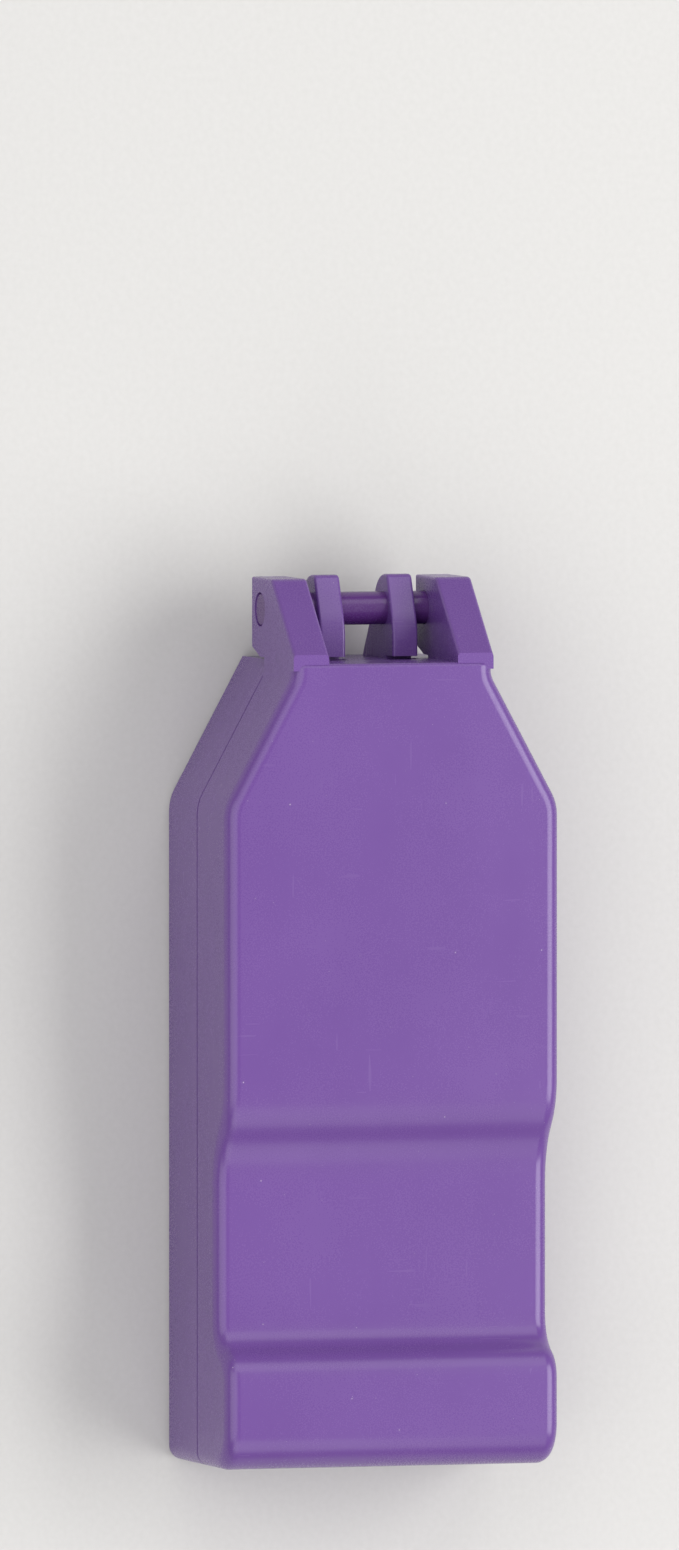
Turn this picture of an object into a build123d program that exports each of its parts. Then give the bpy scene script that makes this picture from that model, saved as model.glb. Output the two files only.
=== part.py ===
from build123d import *
import os
from math import cos, radians, sin, tan

# Pill splitter: a hinged two-part case with a blade in the lid, and with a V-shaped pill seat and
# a three-bin storage tray in the base. Millimetres.
# X runs across the case, Y along it (hinge at +Y, front lip at -Y), Z up.
# The origin is under the middle of the case, on the surface that it stands on.

# Case
case_length = 115.0        # front lip to the hinge end
case_width = 45.0
case_height = 27.0
parting_height = 13.5      # top of the base's walls
parting_gap = 0.3          # open line between base and lid
wall = 1.8
floor_thickness = 1.8
roof_thickness = 2.0
edge_radius = 1.8          # long outer edges and front corners
bottom_edge_radius = 1.4
front_round = 5.5          # rounding of the lip towards the front wall

# Neck and taper at the hinge end
hinge_reach = 10.9         # rear wall to the hinge end
neck_width = 27.0
neck_length = 1.8
taper_length = 16.6
shoulder_radius = 6.0
neck_radius = 3.0
rear_edge_radius = 0.6

# Finger recess in the lid
lip_length = 11.4          # front end to the recess
recess_depth = 5.0
recess_length = 17.1       # flat floor of the recess
front_ramp = 8.0
rear_ramp = 13.6

# Shiplap rim between base and lid
rim_height = 1.2
rim_thickness = 0.7
rim_clearance = 0.25

# Hinge
pin_diameter = 4.3
pin_height = 12.0          # axis above the surface
pin_running_fit = 0.06     # radial, in the lid's ears
pin_end_recess = 0.1
pin_chamfer = 0.2
ear_width = 4.8
ear_setback = 0.3          # ear's end face to the hinge end
ear_drop = 3.8             # its level underside below the pin's axis
ear_flat = 1.2             # level stretch behind the lid's rear edge
ear_slope = 46.0           # degrees below level
ear_step = 0.25            # crease between the lid's top and an ear
ear_corner_radius = 1.2
ear_edge_radius = 0.4
knuckle_width = 3.4
knuckle_side_gap = 2.1     # between a knuckle and the ear beside it
knuckle_radius = 4.4       # its rounded lower end, about the pin
knuckle_end_rise = 1.4     # top of its end face above the pin's axis
knuckle_ramp = 6.5         # sloping stretch of its top
arm_rise = 4.2             # top of its arm above the pin's axis
arm_clearance = 0.4        # round an arm, in the lid's notch
knuckle_foot = 3.0         # lower end of a knuckle's arm on the rear wall
knuckle_corner_radius = 0.8
knuckle_bend_radius = 9.0  # between its slope and its arm's level top
knuckle_edge_radius = 0.35
swing_clearance = 0.4      # rear walls to what passes them as the lid swings

# Blade and what holds it in the lid
blade_length = 28.0
blade_thickness = 0.5
blade_grind = 1.6          # height of the ground edge
blade_edge = 0.08          # thickness at the cutting edge
blade_heel = 14.5          # pin axis to the blade's heel
peg_diameter = 3.0
peg_clearance = 0.1
peg_spacing = 14.0
peg_drop = 2.6             # below the carrier's plate
boss_diameter = 5.0
boss_height = 3.5
boss_spacing = 14.0
plate_thickness = 1.6
plate_width = 20.0
plate_overhang = 1.0       # past each end of the blade
plate_corner_radius = 2.0
cheek_thickness = 3.0
cheek_height = 5.0
clamp_thickness = 2.4
clamp_end_inset = 1.0
screw_diameter = 2.0
screw_pilot = 1.6
screw_hole_clearance = 0.2
screw_head_diameter = 3.8
screw_head_height = 1.3
screw_drive_width = 0.7
screw_drive_length = 2.2
screw_drive_depth = 0.7
roof_over_pilot = 1.1

# Pill cradle
insert_clearance = 0.2     # inserts to the base's walls
cradle_front = 4.0         # Y of its front face
cradle_wall = 1.5
cradle_drop = 0.7          # its top below the parting
cradle_corner_radius = 1.5
seat_depth = 5.8
seat_half_angle = 30.0     # degrees, each side of the blade's line
seat_apex_wall = 3.0       # apex of the V to the cradle's rear face
seat_half_width = 13.2
seat_front_length = 4.5    # straight part in front of the V
slot_width = 1.5
slot_overrun = 1.5         # past each end of the blade
edge_below_seat = 0.8      # cutting edge below the seat's floor

# Grip pads
pad_thickness = 1.2
pad_start = 3.6            # from the apex, along the V's wall
pad_end = 20.5
pad_drop = 0.5             # its top below the cradle's top

# Storage tray
tray_wall = 1.1
tray_floor = 1.2
tray_drop = 0.7            # its top below the parting
tray_corner_radius = 1.5
bin_count = 3
bin_corner_radius = 2.0
bin_scoop = 1.9            # rounding between a bin's walls and its floor
bulkhead_thickness = 1.4
bulkhead_height = 8.0      # top of the cross wall between tray and cradle

# Places that follow from the sizes above
front_y = -case_length / 2
hinge_end_y = case_length / 2
rear_wall_y = hinge_end_y - hinge_reach
neck_y = rear_wall_y - neck_length
shoulder_y = neck_y - taper_length
pin_y = hinge_end_y - knuckle_radius
ear_end_y = hinge_end_y - ear_setback
swing_reach = pin_y - rear_wall_y - swing_clearance
lid_bottom = parting_height + parting_gap
roof_under = case_height - roof_thickness
ear_inner_x = neck_width / 2 - ear_width
knuckle_outer_x = ear_inner_x - knuckle_side_gap
knuckle_inner_x = knuckle_outer_x - knuckle_width
taper_end_x = neck_width / 2 - neck_length * (case_width - neck_width) / 2 / taper_length
boss_bottom = roof_under - boss_height
plate_bottom = boss_bottom - plate_thickness
cradle_top = parting_height - cradle_drop
seat_floor = cradle_top - seat_depth
edge_z = seat_floor - edge_below_seat
blade_rear_y = pin_y - blade_heel
blade_front_y = blade_rear_y - blade_length
blade_middle_y = (blade_rear_y + blade_front_y) / 2
peg_z = plate_bottom - peg_drop
rear_inside_y = rear_wall_y - wall - insert_clearance
apex_y = rear_inside_y - seat_apex_wall
bulkhead_front_y = cradle_front - insert_clearance - bulkhead_thickness
tray_rear_y = bulkhead_front_y - insert_clearance
tray_front_y = front_y + wall + insert_clearance
tray_top = parting_height - tray_drop

os.makedirs("parts", exist_ok=True)


def case_plan(inset, front_radius, necked=True):
    """Plan outline of the case, moved in by inset; without a neck, its taper runs on to the rear."""
    side = [(case_width / 2, front_y), (case_width / 2, shoulder_y)]
    if necked:
        side += [(neck_width / 2, neck_y), (neck_width / 2, rear_wall_y)]
    else:
        side += [(taper_end_x, rear_wall_y)]
    with BuildSketch() as plan:
        with BuildLine():
            Polyline(*side, *[(-x, y) for x, y in reversed(side)], close=True)
        make_face()
        fillet(plan.vertices().group_by(Axis.Y)[1], radius=shoulder_radius)
        if necked:
            fillet(
                plan.vertices().filter_by(lambda v: abs(v.Y - neck_y) < 0.01),
                radius=neck_radius,
            )
        if front_radius > 0:
            fillet(plan.vertices().group_by(Axis.Y)[0], radius=front_radius)
        if inset > 0:
            offset(amount=-inset, kind=Kind.INTERSECTION)
    return plan.sketch


def lid_side(inset, drop):
    """Side outline of the lid in the YZ plane, moved in by inset and lowered by drop."""
    top = case_height - drop
    low = top - recess_depth
    middle = top - recess_depth / 2
    front = front_y + inset
    lip_rear = front_y + lip_length
    floor_front = lip_rear + front_ramp
    floor_rear = floor_front + recess_length
    flat_front = floor_rear + rear_ramp
    rounding = front_round - inset
    with BuildSketch(Plane.YZ) as side:
        with BuildLine():
            Line((rear_wall_y - inset, lid_bottom), (rear_wall_y - inset, top))
            Line((rear_wall_y - inset, top), (flat_front, top))
            fall = TangentArc(
                (flat_front, top), ((flat_front + floor_rear) / 2, middle), tangent=(-1, 0)
            )
            TangentArc(fall @ 1, (floor_rear, low), tangent=fall % 1)
            Line((floor_rear, low), (floor_front, low))
            rise = TangentArc(
                (floor_front, low), ((floor_front + lip_rear) / 2, middle), tangent=(-1, 0)
            )
            TangentArc(rise @ 1, (lip_rear, top), tangent=rise % 1)
            Line((lip_rear, top), (front + rounding, top))
            TangentArc((front + rounding, top), (front, top - rounding), tangent=(-1, 0))
            Line((front, top - rounding), (front, lid_bottom))
            Line((front, lid_bottom), (rear_wall_y - inset, lid_bottom))
        make_face()
    return side.sketch


# Base: the lower casing with the two hinge knuckles
arm_end_y = rear_wall_y + swing_clearance
arm_top = pin_height + arm_rise
with BuildPart() as base_tub:
    extrude(case_plan(0, edge_radius, necked=False), parting_height)
    fillet(base_tub.edges().group_by(Axis.Z)[0], radius=bottom_edge_radius)
    with BuildSketch(Plane.XY.offset(floor_thickness)):
        add(case_plan(wall, 0))
    extrude(amount=parting_height, mode=Mode.SUBTRACT)
    with BuildSketch(Plane.XY.offset(parting_height)):
        add(case_plan(wall - rim_thickness, 0))
        add(case_plan(wall, 0), mode=Mode.SUBTRACT)
    extrude(amount=rim_height)
    with BuildSketch(Plane.XY.offset(floor_thickness)):
        with Locations((0, bulkhead_front_y)):
            Rectangle(
                case_width - wall,
                bulkhead_thickness,
                align=(Align.CENTER, Align.MIN),
            )
    extrude(amount=bulkhead_height - floor_thickness)
    with BuildSketch(Plane.YZ.offset(knuckle_inner_x)) as knuckle_side:
        with BuildLine():
            Polyline(
                (hinge_end_y, pin_height),
                (hinge_end_y, pin_height + knuckle_end_rise),
                (hinge_end_y - knuckle_ramp, arm_top),
                (arm_end_y, arm_top),
                (arm_end_y, parting_height - parting_gap),
                (rear_wall_y - wall / 2, parting_height - parting_gap),
                (rear_wall_y - wall / 2, knuckle_foot),
                (rear_wall_y, knuckle_foot),
                (pin_y, pin_height - knuckle_radius),
            )
            TangentArc(
                (pin_y, pin_height - knuckle_radius), (hinge_end_y, pin_height), tangent=(1, 0)
            )
        make_face()
        fillet(
            knuckle_side.vertices().sort_by_distance((hinge_end_y - knuckle_ramp, arm_top, 0))[0],
            radius=knuckle_bend_radius,
        )
        fillet(
            knuckle_side.vertices().sort_by_distance(
                (hinge_end_y, pin_height + knuckle_end_rise, 0)
            )[0],
            radius=knuckle_corner_radius,
        )
    extrude(amount=knuckle_width)
    fillet(
        base_tub.edges()
        .filter_by(lambda e: e.center().Y > arm_end_y + knuckle_edge_radius)
        .filter_by(lambda e: e.center().Z > pin_height - knuckle_radius)
        .filter_by(lambda e: abs((e % 0.5).X) < 0.01),
        radius=knuckle_edge_radius,
    )
    mirror(about=Plane.YZ)
    with Locations(Plane.YZ):
        with Locations((pin_y, pin_height)):
            Hole(pin_diameter / 2, depth=neck_width)
base_tub.part.label = "base_tub"
export_step(base_tub.part, "parts/base_tub.step")


# Lid: the upper casing with the finger recess and the two hinge ears
with BuildPart() as lid_outside:
    with BuildSketch():
        add(case_plan(0, 0))
    extrude(amount=case_height)
    extrude(lid_side(0, 0), case_width, both=True, mode=Mode.INTERSECT)
    fillet(
        lid_outside.edges()
        .filter_by(lambda e: e.center().Z > lid_bottom + edge_radius)
        .filter_by(lambda e: abs((e % 0.5).X) < 0.99)
        .filter_by(lambda e: e.center().Y < rear_wall_y - 0.01),
        radius=edge_radius,
    )
    fillet(
        lid_outside.edges().filter_by(Axis.X).group_by(Axis.Y)[-1].sort_by(Axis.Z)[-1],
        radius=rear_edge_radius,
    )

with BuildPart() as lid_hollow:
    with BuildSketch():
        add(case_plan(wall, 0))
    extrude(amount=case_height)
    extrude(lid_side(wall, roof_thickness), case_width, both=True, mode=Mode.INTERSECT)

ear_top = case_height - ear_step
ear_slope_y = rear_wall_y + ear_flat
ear_end_z = ear_top - (ear_end_y - ear_slope_y) * tan(radians(ear_slope))
ear_bottom = pin_height - ear_drop
ear_front_y = pin_y - (swing_reach**2 - ear_drop**2) ** 0.5
with BuildPart() as lid_cover:
    add(lid_outside.part)
    add(lid_hollow.part, mode=Mode.SUBTRACT)
    with BuildSketch(Plane.XY.offset(lid_bottom)):
        add(case_plan(wall - rim_thickness - rim_clearance, 0))
    extrude(amount=rim_height, mode=Mode.SUBTRACT)
    with BuildSketch(Plane.YZ.offset(ear_inner_x)) as ear_side:
        with BuildLine():
            Polyline(
                (rear_wall_y - wall / 2, ear_top),
                (ear_slope_y, ear_top),
                (ear_end_y, ear_end_z),
                (ear_end_y, ear_bottom),
                (ear_front_y, ear_bottom),
                (rear_wall_y + swing_clearance, pin_height),
                (rear_wall_y + swing_clearance, lid_bottom),
                (rear_wall_y - wall / 2, lid_bottom),
                close=True,
            )
        make_face()
        fillet(
            ear_side.vertices().sort_by_distance((ear_end_y, ear_end_z, 0))[0],
            radius=ear_corner_radius,
        )
    extrude(amount=ear_width)
    fillet(
        lid_cover.edges()
        .filter_by(lambda e: e.center().Y > ear_slope_y)
        .filter_by(lambda e: abs((e % 0.5).X) < 0.01),
        radius=ear_edge_radius,
    )
    with BuildSketch(Plane.XY.offset(boss_bottom)):
        with Locations((0, blade_middle_y)):
            with GridLocations(boss_spacing, 1, 2, 1):
                Circle(boss_diameter / 2)
    extrude(amount=boss_height + roof_thickness / 2)
    with Locations(Plane((0, blade_middle_y, boss_bottom), z_dir=(0, 0, -1))):
        with GridLocations(boss_spacing, 1, 2, 1):
            Hole(screw_pilot / 2, depth=boss_height + roof_thickness - roof_over_pilot)
    mirror(lid_cover.part.solid(), about=Plane.YZ)
    with BuildSketch(Plane.XY.offset(lid_bottom)):
        with Locations((0, rear_wall_y)):
            with GridLocations(knuckle_inner_x + knuckle_outer_x, 1, 2, 1):
                Rectangle(knuckle_width + 2 * arm_clearance, 2 * wall)
    extrude(amount=arm_top + arm_clearance - lid_bottom, mode=Mode.SUBTRACT)
    with Locations(Plane.YZ):
        with Locations((pin_y, pin_height)):
            Hole(pin_diameter / 2 + pin_running_fit, depth=neck_width)
lid_cover.part.label = "lid_cover"
export_step(lid_cover.part, "parts/lid_cover.step")

# Hinge pin: pressed into the knuckles, free to turn in the ears
with BuildPart() as hinge_pin:
    with BuildSketch(Plane.YZ):
        with Locations((pin_y, pin_height)):
            Circle(pin_diameter / 2)
    extrude(amount=neck_width / 2 - pin_end_recess, both=True)
    chamfer(hinge_pin.edges().filter_by(GeomType.CIRCLE), length=pin_chamfer)
hinge_pin.part.label = "hinge_pin"
export_step(hinge_pin.part, "parts/hinge_pin.step")

# Blade: a strip in the middle plane of the case, ground from both sides along its lower edge
with BuildPart() as blade:
    with BuildSketch(Plane.XZ.offset(-blade_rear_y)):
        with BuildLine():
            Polyline(
                (-blade_edge / 2, edge_z),
                (blade_edge / 2, edge_z),
                (blade_thickness / 2, edge_z + blade_grind),
                (blade_thickness / 2, plate_bottom),
                (-blade_thickness / 2, plate_bottom),
                (-blade_thickness / 2, edge_z + blade_grind),
                close=True,
            )
        make_face()
    extrude(amount=blade_length)
    with Locations(Plane.YZ):
        with Locations((blade_middle_y, peg_z)):
            with GridLocations(peg_spacing, 1, 2, 1):
                Hole(peg_diameter / 2 + peg_clearance, depth=blade_thickness)
blade.part.label = "blade"
export_step(blade.part, "parts/blade.step")

# Blade carrier: a plate under the lid's bosses, with a cheek and two pegs beside the blade
with BuildPart() as blade_carrier:
    with BuildSketch(Plane.XY.offset(plate_bottom)):
        with Locations((0, blade_middle_y)):
            RectangleRounded(
                plate_width, blade_length + 2 * plate_overhang, plate_corner_radius
            )
    extrude(amount=plate_thickness)
    with BuildSketch(Plane.XY.offset(plate_bottom)):
        with Locations((-blade_thickness / 2, blade_middle_y)):
            Rectangle(cheek_thickness, blade_length, align=(Align.MAX, Align.CENTER))
    extrude(amount=-cheek_height)
    with BuildSketch(Plane.YZ.offset(-blade_thickness / 2)):
        with Locations((blade_middle_y, peg_z)):
            with GridLocations(peg_spacing, 1, 2, 1):
                Circle(peg_diameter / 2)
    extrude(amount=blade_thickness + clamp_thickness)
    with Locations(Plane.XY.offset(boss_bottom)):
        with Locations((0, blade_middle_y)):
            with GridLocations(boss_spacing, 1, 2, 1):
                Hole(screw_diameter / 2 + screw_hole_clearance, depth=plate_thickness)
blade_carrier.part.label = "blade_carrier"
export_step(blade_carrier.part, "parts/blade_carrier.step")

# Blade clamp: the second cheek, on the carrier's pegs
with BuildPart() as blade_clamp:
    with BuildSketch(Plane.XY.offset(plate_bottom)):
        with Locations((blade_thickness / 2, blade_middle_y)):
            Rectangle(
                clamp_thickness,
                blade_length - 2 * clamp_end_inset,
                align=(Align.MIN, Align.CENTER),
            )
    extrude(amount=-cheek_height)
    with Locations(Plane.YZ.offset(blade_thickness / 2 + clamp_thickness)):
        with Locations((blade_middle_y, peg_z)):
            with GridLocations(peg_spacing, 1, 2, 1):
                Hole(peg_diameter / 2, depth=clamp_thickness)
blade_clamp.part.label = "blade_clamp"
export_step(blade_clamp.part, "parts/blade_clamp.step")

# Carrier screws: two self-tapping screws, driven upwards into the bosses
screw_end = case_height - roof_over_pilot - parting_gap
with BuildPart() as carrier_screws:
    with BuildSketch(Plane.XY.offset(plate_bottom)):
        with Locations((0, blade_middle_y)):
            with GridLocations(boss_spacing, 1, 2, 1):
                Circle(screw_head_diameter / 2)
    extrude(amount=-screw_head_height)
    fillet(carrier_screws.edges().group_by(Axis.Z)[0], radius=screw_head_height / 2)
    with BuildSketch(Plane.XY.offset(plate_bottom)):
        with Locations((0, blade_middle_y)):
            with GridLocations(boss_spacing, 1, 2, 1):
                Circle(screw_pilot / 2)
    extrude(amount=screw_end - plate_bottom)
    with BuildSketch(Plane.XY.offset(plate_bottom - screw_head_height)):
        with Locations((0, blade_middle_y)):
            with GridLocations(boss_spacing, 1, 2, 1):
                Rectangle(screw_drive_length, screw_drive_width)
                Rectangle(screw_drive_width, screw_drive_length)
    extrude(amount=screw_drive_depth, mode=Mode.SUBTRACT)
carrier_screws.part.label = "carrier_screws"
export_step(carrier_screws.part, "parts/carrier_screws.step")

# Pill cradle: an open-bottomed insert with the V seat and the blade's slot
seat_v_length = seat_half_width / tan(radians(seat_half_angle))
seat_front_y = apex_y - seat_v_length - seat_front_length


def seat_plan(grow):
    """Plan outline of the V seat, its walls moved out by grow."""
    with BuildSketch() as plan:
        with BuildLine():
            Polyline(
                (0, apex_y),
                (seat_half_width, apex_y - seat_v_length),
                (seat_half_width, seat_front_y),
                (-seat_half_width, seat_front_y),
                (-seat_half_width, apex_y - seat_v_length),
                close=True,
            )
        make_face()
        if grow > 0:
            offset(amount=grow, kind=Kind.INTERSECTION)
    return plan.sketch


def cradle_plan(inset):
    """Plan outline of the cradle, moved in by inset."""
    with BuildSketch() as plan:
        add(case_plan(wall + insert_clearance, 0))
        with Locations((0, cradle_front)):
            Rectangle(
                case_width,
                case_length,
                align=(Align.CENTER, Align.MIN),
                mode=Mode.INTERSECT,
            )
        fillet(plan.vertices().group_by(Axis.Y)[0], radius=cradle_corner_radius)
        if inset > 0:
            offset(amount=-inset, kind=Kind.INTERSECTION)
    return plan.sketch


with BuildPart() as pill_cradle:
    with BuildSketch(Plane.XY.offset(floor_thickness)):
        add(cradle_plan(0))
    extrude(amount=cradle_top - floor_thickness)
    with BuildSketch(Plane.XY.offset(floor_thickness)):
        add(cradle_plan(cradle_wall))
        add(seat_plan(cradle_wall), mode=Mode.SUBTRACT)
    extrude(amount=cradle_top - cradle_wall - floor_thickness, mode=Mode.SUBTRACT)
    with BuildSketch(Plane.XY.offset(floor_thickness)):
        add(seat_plan(cradle_wall))
        add(cradle_plan(0), mode=Mode.INTERSECT)
    extrude(amount=seat_floor - cradle_wall - floor_thickness, mode=Mode.SUBTRACT)
    with BuildSketch(Plane.XY.offset(floor_thickness)):
        add(cradle_plan(0))
        add(cradle_plan(cradle_wall), mode=Mode.SUBTRACT)
    extrude(amount=cradle_top - floor_thickness)
    with BuildSketch(Plane.XY.offset(seat_floor)):
        add(seat_plan(0))
    extrude(amount=seat_depth, mode=Mode.SUBTRACT)
    with BuildSketch(Plane.XY.offset(seat_floor - cradle_wall)):
        with Locations((0, blade_rear_y + slot_overrun)):
            Rectangle(
                slot_width,
                blade_length + 2 * slot_overrun,
                align=(Align.CENTER, Align.MAX),
            )
    extrude(amount=seat_depth + cradle_wall, mode=Mode.SUBTRACT)
pill_cradle.part.label = "pill_cradle"
export_step(pill_cradle.part, "parts/pill_cradle.step")

# Grip pads: a soft strip along each wall of the V
pad_length = pad_end - pad_start
pad_middle = (pad_start + pad_end) / 2
pad_lean = radians(seat_half_angle)
pad_x = pad_middle * sin(pad_lean) - pad_thickness / 2 * cos(pad_lean)
pad_y = apex_y - pad_middle * cos(pad_lean) - pad_thickness / 2 * sin(pad_lean)
for side_name, side in (("left", -1), ("right", 1)):
    with BuildPart() as grip_pad:
        with BuildSketch(Plane.XY.offset(seat_floor)):
            with Locations((side * pad_x, pad_y)):
                Rectangle(pad_thickness, pad_length, rotation=side * seat_half_angle)
        extrude(amount=seat_depth - pad_drop)
    grip_pad.part.label = f"grip_pad_{side_name}"
    export_step(grip_pad.part, f"parts/grip_pad_{side_name}.step")

# Storage tray: a drop-in tray with a row of equal bins
tray_length = tray_rear_y - tray_front_y
tray_width = case_width - 2 * (wall + insert_clearance)
bin_length = (tray_length - (bin_count + 1) * tray_wall) / bin_count
with BuildPart() as storage_tray:
    with BuildSketch(Plane.XY.offset(floor_thickness)):
        with Locations((0, (tray_front_y + tray_rear_y) / 2)):
            RectangleRounded(tray_width, tray_length, tray_corner_radius)
    extrude(amount=tray_top - floor_thickness)
    with BuildSketch(Plane.XY.offset(floor_thickness + tray_floor)):
        with Locations((0, (tray_front_y + tray_rear_y) / 2)):
            with GridLocations(1, bin_length + tray_wall, 1, bin_count):
                RectangleRounded(tray_width - 2 * tray_wall, bin_length, bin_corner_radius)
    extrude(amount=tray_top, mode=Mode.SUBTRACT)
    fillet(
        storage_tray.faces().filter_by(Axis.Z).group_by(Axis.Z)[1].edges(),
        radius=bin_scoop,
    )
storage_tray.part.label = "storage_tray"
export_step(storage_tray.part, "parts/storage_tray.step")
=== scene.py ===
import logging
import math
from dataclasses import dataclass
from enum import Enum

import bmesh
import bpy
from mathutils import Matrix, Vector


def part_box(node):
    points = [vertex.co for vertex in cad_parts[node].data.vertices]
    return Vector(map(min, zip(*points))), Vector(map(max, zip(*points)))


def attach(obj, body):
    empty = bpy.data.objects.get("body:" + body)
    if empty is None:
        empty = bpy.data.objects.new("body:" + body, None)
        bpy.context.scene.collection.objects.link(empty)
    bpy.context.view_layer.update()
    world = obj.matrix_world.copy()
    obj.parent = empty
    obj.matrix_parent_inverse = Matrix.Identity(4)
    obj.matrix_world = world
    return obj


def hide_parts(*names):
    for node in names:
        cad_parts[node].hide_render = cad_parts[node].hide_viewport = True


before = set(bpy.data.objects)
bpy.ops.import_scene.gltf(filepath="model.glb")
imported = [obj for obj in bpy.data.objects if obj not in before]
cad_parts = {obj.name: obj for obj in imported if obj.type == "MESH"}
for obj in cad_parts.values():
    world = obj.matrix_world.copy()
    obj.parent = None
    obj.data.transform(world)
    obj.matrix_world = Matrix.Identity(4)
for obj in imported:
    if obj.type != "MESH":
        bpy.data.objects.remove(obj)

# The looks of a pocket pill splitter round its CAD frame. Metres, in the CAD frame: X across the
# case, Y along it with the hinge at +Y, Z up. Small sizes are written in millimetres times MM.

MM = 0.001
LOG = logging.getLogger("pill_splitter")
Rgb = tuple[float, float, float]
Point = tuple[float, float, float]
Pair = tuple[float, float]

UNIT: Pair = (0.0, 1.0)
SPECK_CORE = 0.6  # the share of a speck's radius where it shows in full
HAIRLINE_BAND: Pair = (0.725, 0.745)  # the noise values where a hairline starts and is full
HAIRLINE_PATCH = 14  # how many line distances a scratched patch is wide
WELD_DISTANCE = 1e-7
CREASE_ANGLE = math.radians(32)  # faces that meet at more than this keep a sharp edge


class Run(Enum):
    """The direction that fine lines on a surface run in, as stretch factors for X, Y and Z."""

    ACROSS = (0.04, 1.0, 1.0)
    ALONG = (1.0, 0.04, 1.0)
    UPRIGHT = (1.0, 1.0, 0.04)
    EVEN = (1.0, 1.0, 1.0)


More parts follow.
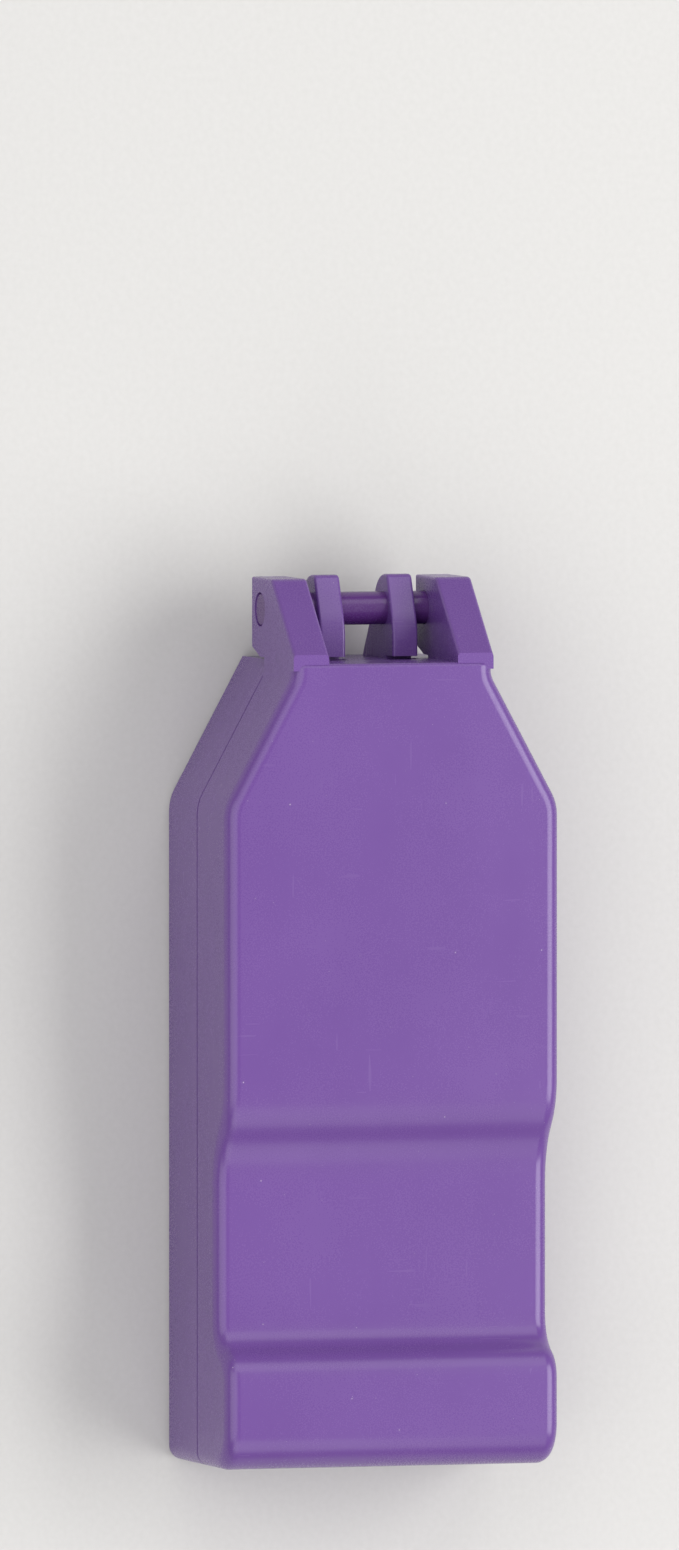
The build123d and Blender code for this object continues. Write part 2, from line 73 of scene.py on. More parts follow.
class Recipe:
    """A material's node tree, with short ways to add the nodes that the finishes share."""

    def __init__(self, name: str) -> None:
        """Starts a material with one Principled surface.

        Args:
            name: The material's name.
        """
        self.material = bpy.data.materials.new(name)
        self.material.use_nodes = True
        self.tree = self.material.node_tree
        self.tree.nodes.clear()
        self.surface = self.add("ShaderNodeBsdfPrincipled")
        output = self.add("ShaderNodeOutputMaterial")
        self.join(self.surface.outputs["BSDF"], output.inputs["Surface"])
        self.place = self.add("ShaderNodeTexCoord").outputs["Object"]

    def add(self, kind: str, **settings: object) -> bpy.types.Node:
        """Adds a node.

        Args:
            kind: The node's type.
            settings: Properties to set on it.

        Returns:
            The new node.
        """
        node = self.tree.nodes.new(kind)
        for key, value in settings.items():
            setattr(node, key, value)
        return node

    def join(self, source: bpy.types.NodeSocket, target: bpy.types.NodeSocket) -> None:
        """Links one socket to another."""
        self.tree.links.new(source, target)

    def drive(self, name: str, source: bpy.types.NodeSocket) -> None:
        """Links a socket to the surface's input of that name."""
        self.join(source, self.surface.inputs[name])

    def fix(self, **values: float) -> None:
        """Sets constants on the surface's inputs, with _ for a space in a name."""
        for key, value in values.items():
            self.surface.inputs[key.replace("_", " ")].default_value = value

    def stretched(self, run: Run) -> bpy.types.NodeSocket:
        """Stretches the object's coordinates so that noise on them runs one way.

        Args:
            run: The direction.

        Returns:
            The coordinates.
        """
        if run is Run.EVEN:
            return self.place
        mapping = self.add("ShaderNodeMapping")
        mapping.inputs["Scale"].default_value = run.value
        self.join(self.place, mapping.inputs["Vector"])
        return mapping.outputs["Vector"]

    def noise(
        self, size: float, detail: float = 2.0, run: Run = Run.EVEN, seed: float = 0.0
    ) -> bpy.types.NodeSocket:
        """Adds a noise pattern.

        Args:
            size: How large one patch is, in metres.
            detail: Octaves of finer noise.
            run: The direction that the patches are drawn out in.
            seed: A fourth coordinate, which picks another pattern.

        Returns:
            The noise value, from 0 to 1.
        """
        node = self.add("ShaderNodeTexNoise", noise_dimensions="4D")
        node.inputs["Scale"].default_value = 1 / size
        node.inputs["Detail"].default_value = detail
        node.inputs["W"].default_value = seed
        self.join(self.stretched(run), node.inputs["Vector"])
        return node.outputs["Fac"]

    def specks(self, spacing: float, radius: float, seed: float = 0.0) -> bpy.types.NodeSocket:
        """Adds small round specks.

        Args:
            spacing: The mean distance between specks in space, in metres.
            radius: The specks' radius, in metres.
            seed: A fourth coordinate, which picks another pattern.

        Returns:
            A mask that is 1 inside a speck.
        """
        node = self.add("ShaderNodeTexVoronoi", voronoi_dimensions="4D")
        node.inputs["Scale"].default_value = 1 / spacing
        node.inputs["W"].default_value = seed
        self.join(self.place, node.inputs["Vector"])
        edge = radius / spacing
        return self.span(node.outputs["Distance"], (edge, edge * SPECK_CORE))

    def span(
        self, value: bpy.types.NodeSocket, source: Pair, target: Pair = UNIT
    ) -> bpy.types.NodeSocket:
        """Maps one span of values to another, clamped.

        Args:
            value: The value to map.
            source: The two inputs that give the two ends of the target.
            target: The span to map to.

        Returns:
            The mapped value.
        """
        node = self.add("ShaderNodeMapRange", clamp=True)
        self.join(value, node.inputs["Value"])
        for key, number in zip(("From Min", "From Max", "To Min", "To Max"), (*source, *target)):
            node.inputs[key].default_value = number
        return node.outputs["Result"]

    def scaled(self, value: bpy.types.NodeSocket, factor: float) -> bpy.types.NodeSocket:
        """Returns a value from 0 to 1 times a factor."""
        return self.span(value, UNIT, (0.0, factor))

    def plus(self, *values: bpy.types.NodeSocket) -> bpy.types.NodeSocket:
        """Adds values up.

        Args:
            values: The values.

        Returns:
            Their sum.
        """
        total = values[0]
        for value in values[1:]:
            node = self.add("ShaderNodeMath", operation="ADD")
            self.join(total, node.inputs[0])
            self.join(value, node.inputs[1])
            total = node.outputs["Value"]
        return total

    def times(self, a: bpy.types.NodeSocket, b: bpy.types.NodeSocket) -> bpy.types.NodeSocket:
        """Multiplies two values.

        Args:
            a: One value.
            b: The other.

        Returns:
            Their product.
        """
        node = self.add("ShaderNodeMath", operation="MULTIPLY")
        self.join(a, node.inputs[0])
        self.join(b, node.inputs[1])
        return node.outputs["Value"]

    def tint(
        self, share: bpy.types.NodeSocket, base: bpy.types.NodeSocket | Rgb, over: Rgb
    ) -> bpy.types.NodeSocket:
        """Mixes a colour over another.

        Args:
            share: How much of the second colour shows, from 0 to 1.
            base: The first colour, or a socket that gives it.
            over: The second colour.

        Returns:
            The mixed colour.
        """
        node = self.add("ShaderNodeMix", data_type="RGBA")
        self.join(share, node.inputs["Factor"])
        first, second = (s for s in node.inputs if s.type == "RGBA")
        if isinstance(base, tuple):
            first.default_value = (*base, 1)
        else:
            self.join(base, first)
        second.default_value = (*over, 1)
        return next(s for s in node.outputs if s.type == "RGBA")

    def hairlines(self, size: float, run: Run, share: float, seed: float) -> bpy.types.NodeSocket:
        """Adds sparse hairline scratches.

        Args:
            size: The distance between the lines that could show, in metres.
            run: The direction of the lines.
            share: The share of the surface where they show, from 0 to 1.
            seed: Picks another pattern.

        Returns:
            A mask that is 1 in a scratch.
        """
        thin = self.span(self.noise(size, 0.0, run, seed), HAIRLINE_BAND)
        patch = self.noise(size * HAIRLINE_PATCH, 1.0, seed=seed + 3.0)
        shown = self.span(patch, (1.0 - share, 1.05 - share))
        return self.times(thin, shown)

    def relief(self, height: bpy.types.NodeSocket, depth: float) -> None:
        """Bumps the surface.

        Args:
            height: The height, from 0 to 1, or more where heights are added.
            depth: The height in metres that 1 stands for.
        """
        node = self.add("ShaderNodeBump")
        node.inputs["Strength"].default_value = 1.0
        node.inputs["Distance"].default_value = depth
        self.join(height, node.inputs["Height"])
        self.drive("Normal", node.outputs["Normal"])


@dataclass(frozen=True)
class MouldedPlastic:
    """Injection-moulded plastic: even colour, faint flow clouds, fine grain, dust and hairlines.

    The heights are in parts of grain_depth.
    """

    name: str
    colour: Rgb
    cloud: Rgb
    dust: Rgb
    roughness: float = 0.27
    roughness_play: float = 0.04
    cloud_size: float = 16 * MM
    flow_size: float = 5 * MM
    smudge_size: float = 9 * MM
    dust_spacing: float = 1.5 * MM
    dust_radius: float = 0.1 * MM
    lint_spacing: float = 0.8 * MM
    hairline_spacing: float = 0.5 * MM
    hairline_share: float = 0.4
    grain_size: float = 0.16 * MM
    grain_depth: float = 0.0016 * MM
    peel_size: float = 1.1 * MM
    peel_height: float = 1.5
    wave_size: float = 12 * MM
    wave_height: float = 4.0
    hairline_depth: float = 1.0
    dust_height: float = 6.0

    def tinted(
        self, r: Recipe, dust: bpy.types.NodeSocket, lint: bpy.types.NodeSocket
    ) -> bpy.types.NodeSocket:
        """Works out the colour.

        Args:
            r: The material's recipe.
            dust: The mask of the larger specks.
            lint: The mask of the smaller ones.

        Returns:
            The colour.
        """
        clouds = r.span(r.noise(self.cloud_size, 3.0), (0.35, 0.72))
        flow = r.span(r.noise(self.flow_size, 2.0, Run.ALONG, seed=2.0), (0.4, 0.75), (0.0, 0.35))
        plain = r.tint(r.plus(clouds, flow), self.colour, self.cloud)
        return r.tint(r.scaled(r.plus(dust, lint), 0.75), plain, self.dust)

    def material(self) -> bpy.types.Material:
        """Makes the finish.

        Returns:
            Its material.
        """
        r = Recipe(self.name)
        dust = r.specks(self.dust_spacing, self.dust_radius, seed=4.0)
        lint = r.specks(self.lint_spacing, self.dust_radius * 0.5, seed=9.0)
        r.drive("Base Color", self.tinted(r, dust, lint))
        grain = r.noise(self.grain_size, 2.0, seed=1.0)
        lines = r.plus(
            r.hairlines(self.hairline_spacing, Run.ACROSS, self.hairline_share, 11.0),
            r.hairlines(self.hairline_spacing, Run.ALONG, self.hairline_share, 17.0),
        )
        low, high = self.roughness - self.roughness_play, self.roughness + self.roughness_play
        level = r.span(grain, UNIT, (low, high))
        smudges = r.span(r.noise(self.smudge_size, 4.0, seed=5.0), (0.3, 0.75), (-0.015, 0.02))
        r.drive("Roughness", r.plus(level, smudges, r.scaled(lines, 0.12)))
        height = r.plus(
            grain,
            r.scaled(r.noise(self.peel_size, 1.0, seed=6.0), self.peel_height),
            r.scaled(r.noise(self.wave_size, 1.0, seed=8.0), self.wave_height),
            r.scaled(lines, -self.hairline_depth),
            r.scaled(dust, self.dust_height),
        )
        r.relief(height, self.grain_depth)
        r.fix(Metallic=0.0, IOR=1.5, Specular_IOR_Level=0.5, Coat_Weight=0.0)
        return r.material


@dataclass(frozen=True)
class GroundSteel:
    """Stainless strip, rolled along its length, with an edge ground across it."""

    name: str
    edge_z: float
    colour: Rgb = (0.60, 0.60, 0.615)
    shade: Rgb = (0.44, 0.44, 0.46)
    grind: float = 1.6 * MM
    grind_blur: float = 0.02 * MM
    rolled_size: float = 0.12 * MM
    cut_size: float = 0.09 * MM
    stain_size: float = 4 * MM
    line_depth: float = 0.0012 * MM

    def material(self) -> bpy.types.Material:
        """Makes the finish.

        Returns:
            Its material.
        """
        r = Recipe(self.name)
        split = r.add("ShaderNodeSeparateXYZ")
        r.join(r.place, split.inputs["Vector"])
        top = self.edge_z + self.grind
        ground = r.span(split.outputs["Z"], (top + self.grind_blur, top - self.grind_blur))
        rolled = r.noise(self.rolled_size, 3.0, Run.ALONG, seed=1.0)
        cut = r.noise(self.cut_size, 3.0, Run.UPRIGHT, seed=4.0)
        stain = r.span(r.noise(self.stain_size, 4.0, seed=7.0), (0.45, 0.8), (0.0, 0.5))
        plain = r.tint(r.span(rolled, (0.3, 0.7), (0.0, 0.6)), self.colour, self.shade)
        r.drive("Base Color", r.tint(r.times(stain, ground), plain, self.shade))
        rough = r.span(r.plus(rolled, stain), (0.3, 1.1), (0.20, 0.36))
        r.drive("Roughness", r.plus(rough, r.scaled(ground, -0.08)))
        unground = r.span(ground, UNIT, (1.0, 0.0))
        r.relief(r.plus(r.times(cut, ground), r.times(rolled, unground)), self.line_depth)
        r.fix(Metallic=1.0, Specular_IOR_Level=0.5)
        return r.material


@dataclass(frozen=True)
class PlatedSteel:
    """Zinc-plated screw steel, with a cloudy bright skin."""

    name: str
    colour: Rgb = (0.55, 0.56, 0.58)
    shade: Rgb = (0.36, 0.37, 0.40)
    cloud_size: float = 0.7 * MM
    pit_spacing: float = 0.35 * MM
    pit_radius: float = 0.05 * MM
    pit_depth: float = 1.5
    cloud_depth: float = 0.002 * MM

    def material(self) -> bpy.types.Material:
        """Makes the finish.

        Returns:
            Its material.
        """
        r = Recipe(self.name)
        clouds = r.noise(self.cloud_size, 4.0, seed=1.0)
        pits = r.specks(self.pit_spacing, self.pit_radius, seed=2.0)
        r.drive("Base Color", r.tint(r.span(clouds, (0.35, 0.7)), self.colour, self.shade))
        r.drive("Roughness", r.span(clouds, (0.3, 0.7), (0.24, 0.42)))
        r.relief(r.plus(clouds, r.scaled(pits, -self.pit_depth)), self.cloud_depth)
        r.fix(Metallic=1.0, Specular_IOR_Level=0.5)
        return r.material


@dataclass(frozen=True)
class SoftGrip:
    """Soft elastomer: dull, finely grained, with pale bloom and tablet dust."""

    name: str
    colour: Rgb = (0.028, 0.028, 0.031)
    bloom: Rgb = (0.075, 0.075, 0.08)
    dust: Rgb = (0.55, 0.54, 0.52)
    bloom_size: float = 2.5 * MM
    grain_size: float = 0.09 * MM
    grain_depth: float = 0.006 * MM
    dust_spacing: float = 0.7 * MM
    dust_radius: float = 0.045 * MM

    def material(self) -> bpy.types.Material:
        """Makes the finish.

        Returns:
            Its material.
        """
        r = Recipe(self.name)
        bloom = r.span(r.noise(self.bloom_size, 4.0, seed=1.0), (0.4, 0.75))
        grain = r.noise(self.grain_size, 3.0, seed=2.0)
        dust = r.specks(self.dust_spacing, self.dust_radius, seed=3.0)
        plain = r.tint(bloom, self.colour, self.bloom)
        r.drive("Base Color", r.tint(r.scaled(dust, 0.6), plain, self.dust))
        r.drive("Roughness", r.span(grain, (0.2, 0.8), (0.66, 0.86)))
        r.relief(r.plus(grain, dust), self.grain_depth)
        r.fix(Metallic=0.0, Specular_IOR_Level=0.4)
        return r.material


@dataclass(frozen=True)
class PaleFloor:
    """A matt pale sheet to stand the case on."""

    name: str = "pale_floor"
    colour: Rgb = (0.56, 0.55, 0.535)
    shade: Rgb = (0.52, 0.51, 0.495)
    fibre_size: float = 0.8 * MM
    fibre_depth: float = 0.004 * MM

    def material(self) -> bpy.types.Material:
        """Makes the finish.

        Returns:
            Its material.
        """
        r = Recipe(self.name)
        fibre = r.noise(self.fibre_size, 3.0)
        share = r.span(fibre, (0.3, 0.7), (0.0, 0.5))
        r.drive("Base Color", r.tint(share, self.colour, self.shade))
        r.drive("Roughness", r.span(fibre, (0.3, 0.7), (0.82, 0.9)))
        r.relief(fibre, self.fibre_depth)
        return r.material


@dataclass(frozen=True)
class Finishes:
    """Every finish of the case, made once."""

    purple: bpy.types.Material
    # the moulding's purple made darker for the hinge pin: painted shade for the shadow in the hinge gaps
    dark_purple: bpy.types.Material
    white: bpy.types.Material
    blade: bpy.types.Material
    plated: bpy.types.Material
    grip: bpy.types.Material

    @classmethod
    def made(cls) -> "Finishes":
        """Makes the finishes.

        Returns:
            Their materials.
        """
        return cls(
            purple=MouldedPlastic(
                "purple_moulding",
                colour=(0.127, 0.055, 0.243),
                cloud=(0.135, 0.060, 0.254),
                dust=(0.62, 0.58, 0.66),
            ).material(),
            # The hinge pin's purple is the moulding's purple darkened: painted shade for the shadow that
            # lies over the pin between the ears and knuckles.
            dark_purple=MouldedPlastic(
                "dark_purple_rod",
                colour=(0.080, 0.020, 0.150),
                cloud=(0.087, 0.024, 0.160),
                dust=(0.62, 0.58, 0.66),
                dust_radius=0.04 * MM,
            ).material(),
            white=MouldedPlastic(
                "white_moulding",
                colour=(0.53, 0.525, 0.505),
                cloud=(0.505, 0.50, 0.48),
                dust=(0.36, 0.35, 0.33),
                roughness=0.44,
                dust_radius=0.045 * MM,
            ).material(),
            blade=GroundSteel("ground_steel", edge_z=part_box("blade")[0].z).material(),
            plated=PlatedSteel("plated_steel").material(),
            grip=SoftGrip("soft_grip").material(),
        )


def new_object(name: str, mesh: bmesh.types.BMesh) -> bpy.types.Object:
    """Makes an object from a finished mesh and puts it in the scene.

    Args:
        name: The object's name.
        mesh: Its shape in the CAD frame. It is freed here.

    Returns:
        The new object.
    """
    data = bpy.data.meshes.new(name)
    mesh.to_mesh(data)
    mesh.free()
    made = bpy.data.objects.new(name, data)
    bpy.context.scene.collection.objects.link(made)
    return made


def new_piece(name: str, mesh: bmesh.types.BMesh, material: bpy.types.Material) -> bpy.types.Object:
    """Makes a visible piece from a finished mesh, smooth except at its sharp edges.

    Args:
        name: The piece's name.
        mesh: Its shape in the CAD frame. It is freed here.
        material: Its finish.

    Returns:
        The new object.
    """
    bmesh.ops.remove_doubles(mesh, verts=mesh.verts, dist=WELD_DISTANCE)
    bmesh.ops.recalc_face_normals(mesh, faces=mesh.faces)
    for edge in mesh.edges:
        edge.smooth = edge.calc_face_angle(0.0) < CREASE_ANGLE
    for face in mesh.faces:
        face.smooth = True
    piece = new_object(name, mesh)
    piece.data.materials.append(material)
    return piece


def stacked_rings(rings: list[list[Vector]]) -> bmesh.types.BMesh:
    """Skins a stack of closed rings of equal length, with a face over each end.

    Args:
        rings: The rings' points, from one end to the other.

    Returns:
        The closed mesh.
    """
    mesh = bmesh.new()
    rows = [[mesh.verts.new(p) for p in ring] for ring in rings]
    count = len(rows[0])
    for low, high in zip(rows, rows[1:]):
        for i in range(count):
            j = (i + 1) % count
            mesh.faces.new((low[i], low[j], high[j], high[i]))
    mesh.faces.new(reversed(rows[0]))
    mesh.faces.new(rows[-1])
    return mesh


def quarter_turn(steps: int) -> list[float]:
    """Returns the angles that divide a quarter turn evenly, from 0 to a right angle."""
    return [math.pi / 2 * i / steps for i in range(steps + 1)]


def dress(node: str, material: bpy.types.Material) -> bpy.types.Object:
    """Gives a CAD node its finish.

    Args:
        node: The CAD node's name.
        material: Its finish.

    Returns:
        The node's object.
    """
    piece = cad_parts[node]
    piece.data.materials.clear()
    piece.data.materials.append(material)
    return piece


@dataclass
class Case:
    """The purple mouldings: base, lid and hinge pin."""

    shells: tuple[str, ...] = ("base_tub", "lid_cover")

    def dress(self, finishes: Finishes) -> list[bpy.types.Object]:
        """Gives the mouldings their finishes and returns them."""
        made = [dress(node, finishes.purple) for node in self.shells]
        # The pin gets the darkened purple, which paints in the shade of the hinge gaps.
        return [*made, dress("hinge_pin", finishes.dark_purple)]


@dataclass
class Inserts:
    """The white inserts in the base: pill cradle and storage tray."""

    nodes: tuple[str, ...] = ("pill_cradle", "storage_tray")

    def dress(self, finishes: Finishes) -> list[bpy.types.Object]:
        """Gives the inserts their finish and returns them."""
        return [dress(node, finishes.white) for node in self.nodes]


@dataclass
class GripPads:
    """The two ribbed pads on the walls of the V seat."""

    lean: float = math.radians(30)
    rib_pitch: float = 1.15 * MM
    rib_height: float = 0.4 * MM
    rib_steps: int = 8
    rib_fullness: float = 0.8
    edge_round: float = 0.18 * MM
    round_steps: int = 4

    def outline(self, length: float, thickness: float, inset: float) -> list[Pair]:
        """Works out a pad's plan outline about its middle, ribs towards +u.

        Args:
            length: The pad's length.
            thickness: Its thickness over the ribs.
            inset: How far the outline is moved in.

        Returns:
            Its points (u, v), with v along the pad.
        """
        ribs = int((length - 2 * self.edge_round) / self.rib_pitch)
        margin = (length - ribs * self.rib_pitch) / 2
        valley = thickness / 2 - self.rib_height
        points = [(-thickness / 2 + inset, length / 2 - inset)]
        points.append((-thickness / 2 + inset, -length / 2 + inset))
        points.append((valley - inset, -length / 2 + inset))
        for k in range(ribs):
            start = -length / 2 + margin + k * self.rib_pitch
            for i in range(self.rib_steps):
                t = i / self.rib_steps
                rise = self.rib_height * math.sin(math.pi * t) ** self.rib_fullness
                points.append((valley + rise - inset, start + t * self.rib_pitch))
        points.append((valley - inset, length / 2 - margin))
        points.append((valley - inset, length / 2 - inset))
        return points

    def levels(self, bottom: float, top: float) -> list[Pair]:
        """Works out how the outline moves in at the rounded lower and upper edges.

        Args:
            bottom: The pad's lowest Z.
            top: Its highest Z.

        Returns:
            Pairs of inset and Z, from the bottom up.
        """
        size = self.edge_round
        turns = quarter_turn(self.round_steps)
        lower = [(size * (1 - math.sin(t)), bottom + size * (1 - math.cos(t))) for t in turns]
        upper = [(size * (1 - math.cos(t)), top - size * (1 - math.sin(t))) for t in turns]
        return lower + upper

    def build(self, side: str, finishes: Finishes) -> bpy.types.Object:
        """Builds one pad in the place of its plain CAD solid.

        Args:
            side: "left" or "right".
            finishes: The finishes.

        Returns:
            The pad.
        """
        node = f"grip_pad_{side}"
        low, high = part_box(node)
        middle = (low + high) / 2
        wide, deep = high.x - low.x, high.y - low.y
        sine, cosine = math.sin(self.lean), math.cos(self.lean)
        square = cosine * cosine - sine * sine
        length = (deep * cosine - wide * sine) / square
        thickness = (wide * cosine - deep * sine) / square
        hand = 1 if side == "right" else -1
        along = Vector((hand * sine, -cosine, 0))
        inward = Vector((-hand * cosine, -sine, 0))
        rings = []
        for inset, z in self.levels(low.z, high.z):
            flat = self.outline(length, thickness, inset)
            rings.append([Vector((middle.x, middle.y, z)) + inward * u + along * v for u, v in flat])
        piece = new_piece(f"ribbed_{node}", stacked_rings(rings), finishes.grip)
        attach(piece, "base")
        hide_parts(node)
        return piece


@dataclass
class BladeUnit:
    """The blade with its carrier, clamp, staked peg heads and two screws, under the lid's roof.

    Profiles and the dimple are shares of the radius and the height. The thread's run-out and its
    point are in pitches, and the recess's flare and taper are shares of its width at the top.
    """

    around: int = 64
    peg_spacing: float = 14 * MM
    peg_drop: float = 2.6 * MM
    stake_radius: float = 1.95 * MM
    stake_height: float = 0.55 * MM
    stake_sink: float = 0.02 * MM
    stake_crown: float = 0.35
    stake_dimple: tuple[Pair, ...] = ((0.28, 0.86), (0.12, 0.80))
    stake_steps: int = 8
    screw_spacing: float = 14 * MM
    head_radius: float = 1.9 * MM
    head_height: float = 1.3 * MM
    head_profile: tuple[Pair, ...] = (
        (0.2, 1.0), (0.62, 1.0), (0.78, 0.95), (0.9, 0.84),
        (0.97, 0.66), (1.0, 0.42), (1.0, 0.1), (0.97, 0.0),
    )
    core_radius: float = 0.74 * MM
    thread_height: float = 0.24 * MM
    thread_pitch: float = 0.8 * MM
    thread_rows: int = 14
    run_out: float = 1.5
    point: float = 1.2
    tip_share: float = 0.25
    recess_reach: float = 1.15 * MM
    recess_width: float = 0.42 * MM
    recess_depth: float = 0.75 * MM
    recess_overrun: float = 0.3 * MM
    recess_flare: float = 1.05
    recess_taper: float = 0.55

    def dress(self, finishes: Finishes) -> list[bpy.types.Object]:
        """Gives the CAD nodes of the unit their finishes and returns them."""
        plates = [dress(node, finishes.white) for node in ("blade_carrier", "blade_clamp")]
        return [dress("blade", finishes.blade), *plates]

    def revolve(
        self, profile: list[Pair], at: Vector, axis: Vector, side: Vector
    ) -> list[list[Vector]]:
        """Turns a profile round an axis into rings.

        Args:
            profile: Pairs of radius and height along the axis.
            at: The point where the height is 0.
            axis: The axis, of length 1.
            side: A direction across it, of length 1.

        Returns:
            The rings.
        """
        other = axis.cross(side)
        rings = []
        for radius, height in profile:
            ring = []
            for i in range(self.around):
                turn = 2 * math.pi * i / self.around
                out = side * math.cos(turn) + other * math.sin(turn)
                ring.append(at + axis * height + out * radius)
            rings.append(ring)
        return rings

    def stake_profile(self) -> list[Pair]:
        """Works out a staked peg's head: a dome with a dimple, sunk a little into the clamp.

        Returns:
            Pairs of radius and height, from the clamp outwards.
        """
        radius, height = self.stake_radius, self.stake_height
        profile = [(radius, -self.stake_sink)]
        for t in quarter_turn(self.stake_steps):
            wide = self.stake_crown + (1 - self.stake_crown) * math.cos(t)
            profile.append((radius * wide, height * math.sin(t)))
        return profile + [(radius * wide, height * tall) for wide, tall in self.stake_dimple]

    def peg_heads(self, finishes: Finishes) -> list[bpy.types.Object]:
        """Builds the staked heads on the clamp's outer face.

        Args:
            finishes: The finishes.

        Returns:
            The two heads.
        """
        low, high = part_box("blade_clamp")
        made = []
        for k, shift in enumerate((-0.5, 0.5)):
            at = Vector((high.x, (low.y + high.y) / 2 + shift * self.peg_spacing, high.z - self.peg_drop))
            rings = self.revolve(self.stake_profile(), at, Vector((1, 0, 0)), Vector((0, 1, 0)))
            piece = new_piece(f"staked_peg_{k + 1}", stacked_rings(rings), finishes.white)
            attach(piece, "lid")
            made.append(piece)
        return made

    def thread_ring(self, at: Vector, z: float, length: float) -> list[Vector]:
        """Works out one ring of a screw's threaded shank.

        Args:
            at: The middle of the head's seat, on the plate.
            z: The ring's height over it.
            length: The shank's length.

        Returns:
            The ring.
        """
        left = (length - z) / self.thread_pitch
        fade = max(0.0, min(1.0, z / self.thread_pitch, left / self.run_out))
        core = self.core_radius * max(self.tip_share, min(1.0, left / self.point))
        ring = []
        for i in range(self.around):
            turn = 2 * math.pi * i / self.around
            phase = (z / self.thread_pitch - i / self.around) % 1.0
            crest = max(0.0, 1 - abs(phase - 0.5) * 4)
            radius = core + self.thread_height * crest * fade
            ring.append(at + Vector((math.cos(turn) * radius, math.sin(turn) * radius, z)))
        return ring

    def screw_rings(self, at: Vector, length: float) -> list[list[Vector]]:
        """Works out a screw's rings, from the middle of its head's top to its tip.

        Args:
            at: The middle of the head's seat, on the plate.
            length: The shank's length.

        Returns:
            The rings.
        """
        head = [(self.head_radius * a, -self.head_height * b) for a, b in self.head_profile]
        rings = self.revolve(head, at, Vector((0, 0, 1)), Vector((1, 0, 0)))
        rows = int(length / self.thread_pitch * self.thread_rows)
        return rings + [self.thread_ring(at, length * j / rows, length) for j in range(rows + 1)]

    def cross_cutter(self, at: Vector) -> bpy.types.Object:
        """Builds the tapered cross that cuts a screw's recess.

        Args:
            at: The middle of the head's top.

        Returns:
            The cutter.
        """
        reach, half = self.recess_reach, self.recess_width / 2
        corners = [(half, reach), (half, half), (reach, half), (reach, -half), (half, -half)]
        corners += [(half, -reach), (-half, -reach), (-half, -half), (-reach, -half)]
        corners += [(-reach, half), (-half, half), (-half, reach)]
        above = (-self.recess_overrun, self.recess_flare)
        floor = (self.recess_depth, self.recess_taper)
        rings = []
        for z, scale in (above, (0.0, 1.0), floor):
            rings.append([at + Vector((x * scale, y * scale, z)) for x, y in corners])
        mesh = stacked_rings(rings)
        bmesh.ops.recalc_face_normals(mesh, faces=mesh.faces)
        return new_object("recess_cutter", mesh)

    def cut_recess(self, screw: bpy.types.Object, at: Vector) -> None:
        """Cuts the cross recess into a screw's head.

        Args:
            screw: The screw.
            at: The middle of the head's top.
        """
        cutter = self.cross_cutter(at)
        cut = screw.modifiers.new("recess", "BOOLEAN")
        cut.operation, cut.object, cut.solver = "DIFFERENCE", cutter, "EXACT"
        bpy.context.view_layer.update()
        solid = bpy.data.meshes.new_from_object(
            screw.evaluated_get(bpy.context.evaluated_depsgraph_get())
        )
        screw.modifiers.clear()
        screw.data = solid
        bpy.data.objects.remove(cutter)

    def screws(self, finishes: Finishes) -> list[bpy.types.Object]:
        """Builds the two threaded screws in place of their plain CAD solids.

        Args:
            finishes: The finishes.

        Returns:
            The two screws.
        """
        low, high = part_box("carrier_screws")
        seat_z = low.z + self.head_height
        made = []
        for k, shift in enumerate((-0.5, 0.5)):
            at = Vector((shift * self.screw_spacing, (low.y + high.y) / 2, seat_z))
            rings = self.screw_rings(at, high.z - seat_z)
            piece = new_piece(f"plate_screw_{k + 1}", stacked_rings(rings), finishes.plated)
            self.cut_recess(piece, at - Vector((0, 0, self.head_height)))
            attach(piece, "lid")
            made.append(piece)
        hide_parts("carrier_screws")
        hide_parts("carrier_screws")
        return made


@dataclass(frozen=True)
class Softbox:
    """A rectangular soft light that faces the case. Its leans are in degrees from straight up."""

    name: str
    right_lean: float
    rear_lean: float
    distance: float
    width: float
    length: float
    watts: float

    def hang(self) -> bpy.types.Object:
        """Hangs the light.

        Returns:
            Its object.
        """
        light = bpy.data.lights.new(self.name, "AREA")
        light.shape, light.size, light.size_y = "RECTANGLE", self.width, self.length
        light.energy = self.watts
        holder = bpy.data.objects.new(self.name, light)
        bpy.context.scene.collection.objects.link(holder)
        sideways = Matrix.Rotation(math.radians(self.right_lean), 4, "Y")
        turn = Matrix.Rotation(-math.radians(self.rear_lean), 4, "X") @ sideways
        holder.matrix_world = turn @ Matrix.Translation((0, 0, self.distance))
        return holder


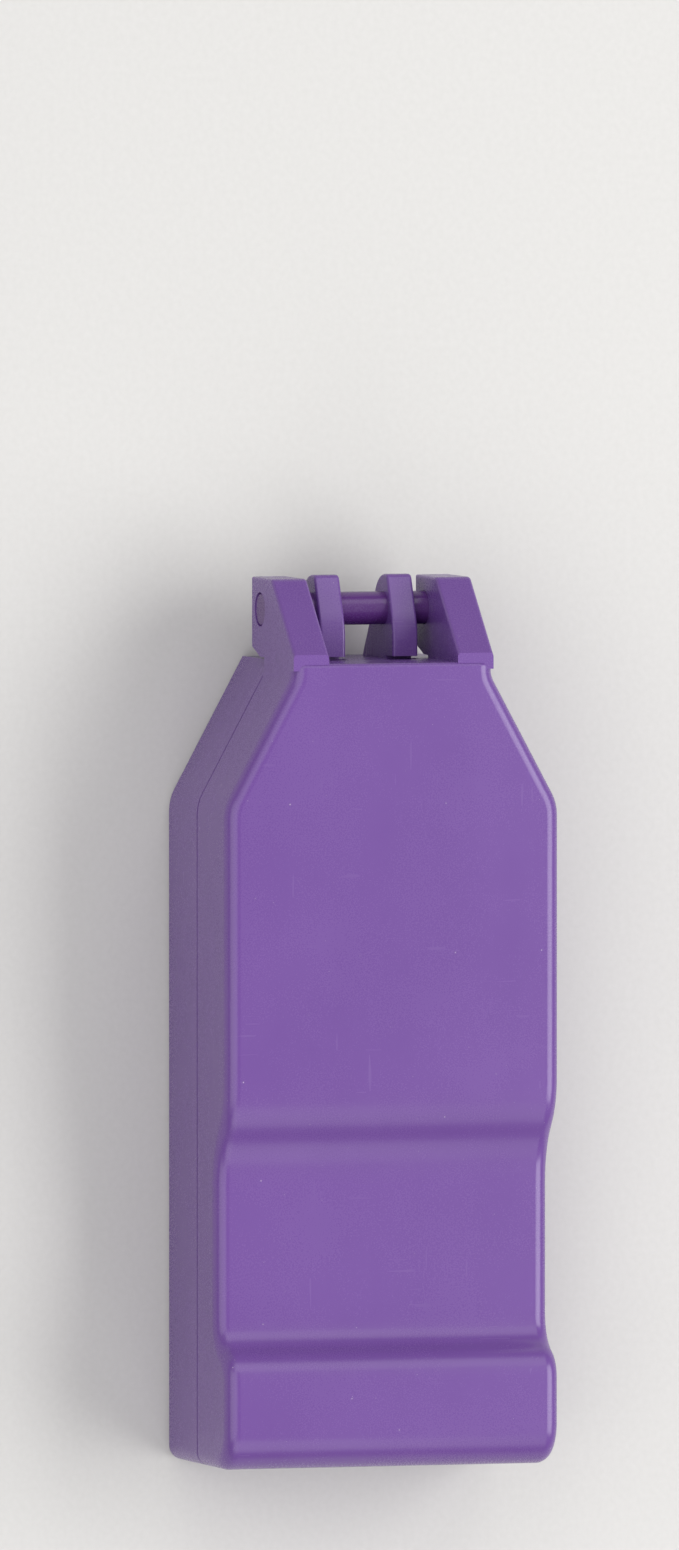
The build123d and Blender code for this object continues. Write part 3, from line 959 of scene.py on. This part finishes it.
@dataclass
class Studio:
    """The floor, the soft lights and the camera."""

    floor_half: float = 1.2
    floor_cells: int = 8
    floor_gap: float = 0.02 * MM
    sky: Rgb = (0.86, 0.88, 0.92)
    sky_strength: float = 0.18
    softboxes: tuple[Softbox, ...] = (
        Softbox("left_sky", -42, 0, 0.9, 1.0, 1.1, 5.9),
        Softbox("right_window", 43, -2, 0.9, 0.58, 1.0, 8.9),
        Softbox("front_fill", -4, -52, 1.0, 0.9, 0.6, 3.0),
        Softbox("rear_fill", 0, 50, 1.0, 0.9, 0.6, 3.3),
    )
    lean: float = math.radians(17.3)
    tip: float = math.radians(2.8)
    distance: float = 3.93
    focal_length: float = 706.0
    sensor: float = 36.0
    clip: Pair = (0.01, 20.0)
    aim: Point = (-3.2 * MM, 31.6 * MM, 13.5 * MM)

    def floor(self) -> bpy.types.Object:
        """Builds the floor.

        Returns:
            The floor.
        """
        mesh = bmesh.new()
        cells = self.floor_cells
        bmesh.ops.create_grid(mesh, x_segments=cells, y_segments=cells, size=self.floor_half)
        floor = new_piece("floor", mesh, PaleFloor().material())
        floor.location.z = -self.floor_gap
        return floor

    def lights(self) -> list[bpy.types.Object]:
        """Sets the sky and hangs the softboxes.

        Returns:
            The lights.
        """
        world = bpy.data.worlds.new("soft_sky")
        world.use_nodes = True
        background = world.node_tree.nodes["Background"]
        background.inputs["Color"].default_value = (*self.sky, 1)
        background.inputs["Strength"].default_value = self.sky_strength
        bpy.context.scene.world = world
        return [box.hang() for box in self.softboxes]

    def camera(self) -> bpy.types.Object:
        """Places the long-lens camera above the case, leaning to its left.

        Returns:
            The camera.
        """
        data = bpy.data.cameras.new("camera")
        data.lens, data.sensor_width = self.focal_length, self.sensor
        data.clip_start, data.clip_end = self.clip
        camera = bpy.data.objects.new("camera", data)
        bpy.context.scene.collection.objects.link(camera)
        sight = Vector((
            math.sin(self.lean) * math.cos(self.tip),
            -math.sin(self.tip),
            -math.cos(self.lean) * math.cos(self.tip),
        ))
        right = sight.cross(Vector((0, 1, 0))).normalized()
        upward = right.cross(sight)
        turn = Matrix((right, upward, -sight)).transposed().to_4x4()
        camera.matrix_world = Matrix.Translation(Vector(self.aim) - sight * self.distance) @ turn
        bpy.context.scene.camera = camera
        return camera


def report(pieces: list[bpy.types.Object]) -> None:
    """Logs each piece's name and vertex count."""
    for piece in pieces:
        LOG.info("%s: %d vertices", piece.name, len(piece.data.vertices))


def main() -> None:
    """Builds the stage and every sub-assembly, in order."""
    logging.basicConfig(level=logging.INFO, format="%(name)s: %(message)s")
    bpy.context.scene.view_settings.view_transform = "Standard"
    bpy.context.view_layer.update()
    studio = Studio()
    studio.floor()
    studio.lights()
    studio.camera()
    finishes = Finishes.made()
    report(Case().dress(finishes))
    report(Inserts().dress(finishes))
    pads = GripPads()
    report([pads.build("left", finishes), pads.build("right", finishes)])
    unit = BladeUnit()
    report(unit.dress(finishes))
    report(unit.peg_heads(finishes))
    report(unit.screws(finishes))


if __name__ == "__main__":
    main()
